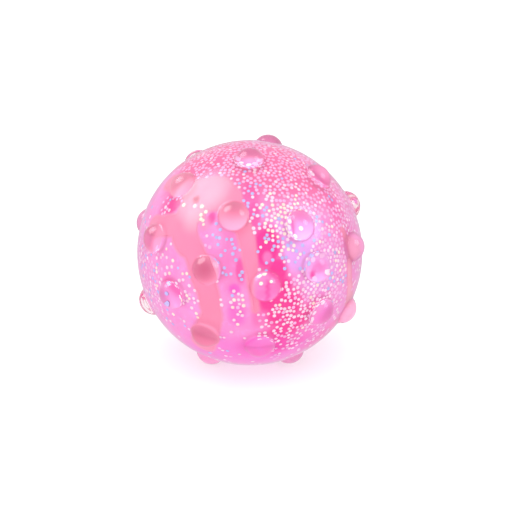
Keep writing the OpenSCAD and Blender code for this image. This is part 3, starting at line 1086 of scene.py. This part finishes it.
class GelSettings(bpy.types.PropertyGroup):
    """Colours of the two gels, and how they show at the nubs."""
    peach: bpy.props.FloatVectorProperty(
        name="Peach", description="Main colour of the core gel",
        default=(0.80, 0.32, 0.46), min=0.0, max=1.0, size=3, subtype="COLOR")
    peach_deep: bpy.props.FloatVectorProperty(
        name="Deep peach", description="Colour of the core gel's soft clouds",
        default=(0.80, 0.29, 0.44), min=0.0, max=1.0, size=3, subtype="COLOR")
    # Colour of the painted shade under nubs in the core gel, and of its dark dimple
    dusk: bpy.props.FloatVectorProperty(
        name="Dusky peach", description="Colour of the core gel's darker spots",
        default=(0.38, 0.04, 0.12), min=0.0, max=1.0, size=3, subtype="COLOR")
    # Colour of the core gel's paler spots, which are partly painted highlight
    bloom: bpy.props.FloatVectorProperty(
        name="Pale peach", description="Colour of the core gel's paler spots",
        default=(0.84, 0.50, 0.60), min=0.0, max=1.0, size=3, subtype="COLOR")
    pale: bpy.props.FloatVectorProperty(
        name="Pale lilac", description="Palest tint of the pearl gel",
        default=(0.72, 0.42, 0.83), min=0.0, max=1.0, size=3, subtype="COLOR")
    lilac: bpy.props.FloatVectorProperty(
        name="Lilac", description="Main tint of the pearl gel",
        default=(0.81, 0.36, 0.67), min=0.0, max=1.0, size=3, subtype="COLOR")
    rose: bpy.props.FloatVectorProperty(
        name="Rose", description="Tint of the pearl gel's drifting clouds",
        default=(0.80, 0.28, 0.61), min=0.0, max=1.0, size=3, subtype="COLOR")
    warm: bpy.props.FloatVectorProperty(
        name="Warm pink", description="Tint of the pearl gel near the top",
        default=(0.78, 0.18, 0.38), min=0.0, max=1.0, size=3, subtype="COLOR")
    # Dusky tint of the filled nubs, and the colour of the painted shade under the nubs' feet
    dusty_rose_and_foot_shade: bpy.props.FloatVectorProperty(
        name="Dusty rose", description="Tint of the pearl gel in nubs and under their feet",
        default=(0.52, 0.17, 0.31), min=0.0, max=1.0, size=3, subtype="COLOR")
    # Milky tint of the filled nubs, and the colour of the painted highlight on two nubs
    milky_pink_and_highlight: bpy.props.FloatVectorProperty(
        name="Milky pink", description="Palest tint of the pearl gel in and under nubs",
        default=(0.86, 0.60, 0.76), min=0.0, max=1.0, size=3, subtype="COLOR")
    foot_shade: bpy.props.FloatProperty(
        name="Foot shade", description="How strongly a nub's foot shades the gel under it",
        default=0.45, min=0.0, max=1.0, subtype="FACTOR")
    nub_fill: bpy.props.FloatProperty(
        name="Nub fill", description="How far the gel rises into the filled nubs",
        default=4.4 * MM, min=0.0, max=5.0 * MM, unit="LENGTH", precision=4)
    magenta: bpy.props.FloatVectorProperty(
        name="Magenta", description="Deepest tint of the pearl gel",
        default=(0.79, 0.06, 0.32), min=0.0, max=1.0, size=3, subtype="COLOR")
    orchid: bpy.props.FloatVectorProperty(
        name="Orchid", description="Cool deep tint of the pearl gel, most of it near the floor",
        default=(0.74, 0.08, 0.57), min=0.0, max=1.0, size=3, subtype="COLOR")


class GlitterSettings(bpy.types.PropertyGroup):
    """Sizes and colours of the glitter."""
    flake_width: bpy.props.FloatProperty(
        name="Flake width", description="Width of a flake across its corners",
        default=1.12 * MM, min=0.3 * MM, max=2.0 * MM, unit="LENGTH", precision=5)
    flake_thickness: bpy.props.FloatProperty(
        name="Flake thickness", description="Thickness of a flake",
        default=0.06 * MM, min=0.02 * MM, max=0.3 * MM, unit="LENGTH", precision=5)
    spacing: bpy.props.FloatProperty(
        name="Spacing", description="Least distance between the middles of two flakes",
        default=1.1 * MM, min=0.5 * MM, max=4.0 * MM, unit="LENGTH", precision=5)
    tilt: bpy.props.FloatProperty(
        name="Tilt", description="Most that a flake leans out of the film",
        default=math.radians(7), min=0.0, max=math.radians(30), subtype="ANGLE")
    silver: bpy.props.FloatVectorProperty(
        name="Silver", description="Colour of the pinkish white flakes",
        default=(0.97, 0.84, 0.93), min=0.0, max=1.0, size=3, subtype="COLOR")
    gold: bpy.props.FloatVectorProperty(
        name="Gold", description="Colour of the pale yellow flakes",
        default=(1.0, 0.98, 0.78), min=0.0, max=1.0, size=3, subtype="COLOR")
    blue: bpy.props.FloatVectorProperty(
        name="Blue", description="Colour of the pale blue flakes",
        default=(0.50, 0.62, 0.97), min=0.0, max=1.0, size=3, subtype="COLOR")
    rose: bpy.props.FloatVectorProperty(
        name="Rose", description="Colour of the lilac flakes",
        default=(0.91, 0.56, 0.83), min=0.0, max=1.0, size=3, subtype="COLOR")


class StageSettings(bpy.types.PropertyGroup):
    """Camera and light."""
    camera_distance: bpy.props.FloatProperty(
        name="Camera distance", description="Distance from the ball's middle to the camera",
        default=0.6, min=0.2, max=3.0, unit="LENGTH")
    lens: bpy.props.FloatProperty(
        name="Lens", description="Focal length in mm on a 36 mm wide sensor",
        default=135.7, min=20.0, max=300.0)
    dome_low: bpy.props.FloatProperty(
        name="Dome low", description="Brightness of the studio dome behind the camera",
        default=0.184, min=0.0, max=2.0)
    dome_high: bpy.props.FloatProperty(
        name="Dome high", description="Brightness of the studio dome on its bright side",
        default=0.9, min=0.0, max=4.0)
    overhead: bpy.props.FloatProperty(
        name="Overhead", description="Brightness of the large light over the ball",
        default=2.64, min=0.0, max=30.0)
    floor_glow: bpy.props.FloatProperty(
        name="Floor glow", description="Brightness of the floor's light on the gels",
        default=1.8, min=0.0, max=4.0)
    floor_gloss: bpy.props.FloatProperty(
        name="Floor gloss", description="Brightness of the floor as the skin's gloss shows it",
        default=0.65, min=0.0, max=2.0)
    floor_white: bpy.props.FloatProperty(
        name="Floor white", description="How much of the floor's shade gives way to plain white",
        default=0.5, min=0.0, max=1.0, subtype="FACTOR")
    softbox: bpy.props.FloatProperty(
        name="Softbox", description="Brightness of the softbox up on the left, as the gloss shows it",
        default=5.6, min=0.0, max=30.0)
    side_box: bpy.props.FloatProperty(
        name="Side box", description="Brightness of the softbox on the right, as the gloss shows it",
        default=4.0, min=0.0, max=30.0)


class SQUISHY_OT_skin(bpy.types.Operator):
    """Makes the clear skin with its nubs"""
    bl_idname = "squishy.skin"
    bl_label = "Clear skin"

    def execute(self, context):
        settings = context.scene.squishy_skin
        points, faces = skin_outside(settings)
        inner, inner_faces = icosphere(INSIDE_LEVEL)
        inside = inner * settings.inner_radius + np.array(CENTRE)
        piece = make_object("ball_skin", *hollow(points, faces, inside, inner_faces))
        cut_seat(piece, context.scene.squishy_plug)
        smooth_skin(piece, settings)
        piece.data.materials.append(skin_material(settings))
        finish_soft(piece, ("skin_upper", "skin_lower"))
        return {"FINISHED"}


class SQUISHY_OT_plug(bpy.types.Operator):
    """Makes the filler plug that closes the skin at the back"""
    bl_idname = "squishy.plug"
    bl_label = "Filler plug"

    def execute(self, context):
        settings = context.scene.squishy_plug
        head = settings.head_width / 2
        shank = settings.shank_width / 2
        under = BALL_RADIUS - settings.head_depth
        end = settings.foot + PLUG_END_GAP
        rim = BALL_RADIUS - RIM_DROP
        profile = [(0.0, end), (shank, end), (shank, under), (head, under), (head, rim)]
        for turn in np.linspace(0.0, math.pi / 2, RIM_STEPS):
            profile.append((head - RIM_INSET * (1 - math.cos(turn)), rim + RIM_RISE * math.sin(turn)))
        for radius in np.linspace(head - CROWN_INSET, 0.0, CROWN_STEPS):
            crown = math.sqrt(BALL_RADIUS ** 2 - radius ** 2)
            dip = settings.dimple * smooth_step((DIMPLE_REACH - radius) / DIMPLE_SLOPE)
            profile.append((radius, crown - dip))
        piece = make_object("filler_plug_cap", *lathe(profile, outward(PLUG_AT)))
        piece.data.set_sharp_from_angle(angle=PLUG_SHARP)
        piece.data.materials.append(plug_material(settings))
        finish_soft(piece, ("filler_plug",))
        return {"FINISHED"}


class SQUISHY_OT_gels(bpy.types.Operator):
    """Makes the peach core and the pearl gel around it"""
    bl_idname = "squishy.gels"
    bl_label = "Gels"

    def execute(self, context):
        settings = context.scene.squishy_gel
        aims, faces = icosphere(SHOWN_LEVEL)
        edge = peach_distance(aims)
        radius = GEL_RADIUS - RUN_INSET - smooth_step(edge / RUN_EDGE) * CORE_INSET
        core = make_object("peach_core", aims * radius[:, None] + np.array(CENTRE), faces)
        # The core's darker spots and foot rings are painted shade, one spot being a dark dimple; its paler
        # spots are partly painted highlight.
        shade = settings.foot_shade * foot_shade(aims)
        store_value(core.data, "dusk", np.maximum(spots_total(aims, SHADE_AND_DIMPLE_SPOTS), CORE_FOOT * shade))
        store_value(core.data, "bloom", spots_total(aims, PALE_AND_HIGHLIGHT_SPOTS))
        core.data.materials.append(core_material(settings))
        finish_soft(core, ("core_gel",))
        radius = GEL_RADIUS - smooth_step((-edge - RUN_OVERLAP) / RUN_EDGE) * COAT_DIP
        radius += fill_nubs(aims)[0] * settings.nub_fill
        inner, inner_faces = icosphere(INSIDE_LEVEL)
        outside = aims * radius[:, None] + np.array(CENTRE)
        inside = inner * (GEL_RADIUS - COAT_INSET) + np.array(CENTRE)
        pearl = make_object("pearl_coat", *hollow(outside, faces, inside, inner_faces))
        both = np.vstack((aims, inner))
        store_value(pearl.data, "magenta", patches_total(both, MAGENTA_PATCHES, BACK_MAGENTA))
        store_value(pearl.data, "orchid", patches_total(both, ORCHID_PATCHES, []))
        store_value(pearl.data, "warm", patches_total(both, WARM_PATCHES, BACK_WARM))
        store_value(pearl.data, "pale", patches_total(both, PALE_PATCHES, BACK_PALE))
        edge = smooth_step(1.0 - peach_distance(both) / RUN_TINT)
        edge = np.maximum(edge, patches_total(both, PEACH_PATCHES, []))
        peach, dusk, milk = fill_nubs(both)[1]
        store_value(pearl.data, "edge", np.maximum(edge, peach))
        # Painted shade in rings under the nubs' feet joins the filled nubs' dusky tint.
        store_value(pearl.data, "dusk", np.maximum(dusk, settings.foot_shade * foot_shade(both)))
        # Milky spots are painted highlight on two nubs, joined with the filled nubs' milky tint.
        store_value(pearl.data, "milk", np.maximum(milk, spots_total(both, MILKY_HIGHLIGHT_SPOTS)))
        pearl.data.materials.append(pearl_material(settings))
        finish_soft(pearl, ("pearl_gel",))
        return {"FINISHED"}


class SQUISHY_OT_glitter(bpy.types.Operator):
    """Scatters the four colours of glitter over the gels"""
    bl_idname = "squishy.glitter"
    bl_label = "Glitter"

    def execute(self, context):
        settings = context.scene.squishy_glitter
        aims, faces = icosphere(SHOWN_LEVEL)
        cover, shares = glitter_shares(aims)
        reach = np.cumsum(shares, axis=1)
        film = aims * (GEL_RADIUS + FILM_HEIGHT) + np.array(CENTRE)
        beyond_draws = np.full(len(aims), 2.0)
        last = len(GLITTER_NAMES) - 1
        for number, name in enumerate(GLITTER_NAMES):
            node = "glitter_" + name
            material = flake_material(name, getattr(settings, name))
            values = {
                "cover": cover,
                "share_from": reach[:, number] - shares[:, number],
                "share_to": reach[:, number] if number < last else beyond_draws,
            }
            piece = scatter_flakes("flakes_" + name, film, faces, values, {
                "Spacing": settings.spacing, "Density": GLITTER_DENSITY, "Flake Width": settings.flake_width,
                "Flake Thickness": settings.flake_thickness, "Tilt": settings.tilt,
                "Seed": GLITTER_SEED, "Finish": material})
            add_single_flakes(piece.data, name, settings)
            # The scattered mesh brings an empty first slot, so the flakes get their one material here.
            piece.data.materials.clear()
            piece.data.materials.append(material)
            piece.data.polygons.foreach_set("material_index", np.zeros(len(piece.data.polygons), np.int32))
            if not piece.data.polygons:
                raise RuntimeError("no flakes were made for " + name)
            finish_soft(piece, (node,))
        return {"FINISHED"}


class SQUISHY_OT_stage(bpy.types.Operator):
    """Makes the floor, the light and the camera"""
    bl_idname = "squishy.stage"
    bl_label = "Stage"

    def execute(self, context):
        settings = context.scene.squishy_stage
        floor = make_object("studio_floor", [
            (-FLOOR_REACH, -FLOOR_REACH, 0), (FLOOR_REACH, -FLOOR_REACH, 0),
            (FLOOR_REACH, FLOOR_REACH, 0), (-FLOOR_REACH, FLOOR_REACH, 0)], [(0, 1, 2, 3)])
        floor.data.materials.append(floor_material(settings))
        studio_dome(settings)
        camera = bpy.data.cameras.new("camera")
        camera.lens = settings.lens
        camera.sensor_width = SENSOR_WIDTH
        camera.clip_start = NEAR_CLIP
        camera_object = bpy.data.objects.new("camera", camera)
        context.collection.objects.link(camera_object)
        aim = np.array(CENTRE) + VIEW_RIGHT * PICTURE_LEFT - VIEW_UP * PICTURE_ABOVE
        place = aim + VIEW_NEAR * settings.camera_distance
        camera_object.location = place
        camera_object.rotation_euler = (math.pi / 2 - VIEW_TILT, 0.0, 0.0)
        context.scene.camera = camera_object
        context.scene.view_settings.view_transform = "Standard"
        context.scene.cycles.blur_glossy = 0.0
        context.scene.cycles.max_bounces = LIGHT_BOUNCES
        context.scene.cycles.glossy_bounces = LIGHT_BOUNCES
        context.scene.cycles.transmission_bounces = LIGHT_BOUNCES
        return {"FINISHED"}


class SQUISHY_PT_panel(bpy.types.Panel):
    """Lists the ball's pieces and their settings"""
    bl_idname = "SQUISHY_PT_panel"
    bl_label = "Squishy ball"
    bl_space_type = "VIEW_3D"
    bl_region_type = "UI"
    bl_category = "Squishy ball"

    def draw(self, context):
        for group_name, operator in PIECES:
            box = self.layout.box()
            settings = getattr(context.scene, group_name)
            for name in settings.__annotations__:
                box.prop(settings, name)
            box.operator(operator.bl_idname)


SETTINGS = {
    "squishy_skin": SkinSettings,
    "squishy_plug": PlugSettings,
    "squishy_gel": GelSettings,
    "squishy_glitter": GlitterSettings,
    "squishy_stage": StageSettings,
}
PIECES = [
    ("squishy_skin", SQUISHY_OT_skin),
    ("squishy_plug", SQUISHY_OT_plug),
    ("squishy_gel", SQUISHY_OT_gels),
    ("squishy_glitter", SQUISHY_OT_glitter),
    ("squishy_stage", SQUISHY_OT_stage),
]


def register():
    """Adds the settings, the operators and the panel."""
    for name, group in SETTINGS.items():
        bpy.utils.register_class(group)
        setattr(bpy.types.Scene, name, bpy.props.PointerProperty(type=group))
    for _, operator in PIECES:
        bpy.utils.register_class(operator)
    bpy.utils.register_class(SQUISHY_PT_panel)


def unregister():
    """Takes away what register added."""
    bpy.utils.unregister_class(SQUISHY_PT_panel)
    for _, operator in reversed(PIECES):
        bpy.utils.unregister_class(operator)
    for name, group in SETTINGS.items():
        delattr(bpy.types.Scene, name)
        bpy.utils.unregister_class(group)


def main():
    """Makes the ball and its stage."""
    register()
    bpy.ops.squishy.skin()
    bpy.ops.squishy.plug()
    bpy.ops.squishy.gels()
    bpy.ops.squishy.glitter()
    bpy.ops.squishy.stage()


if __name__ == "__main__":
    main()
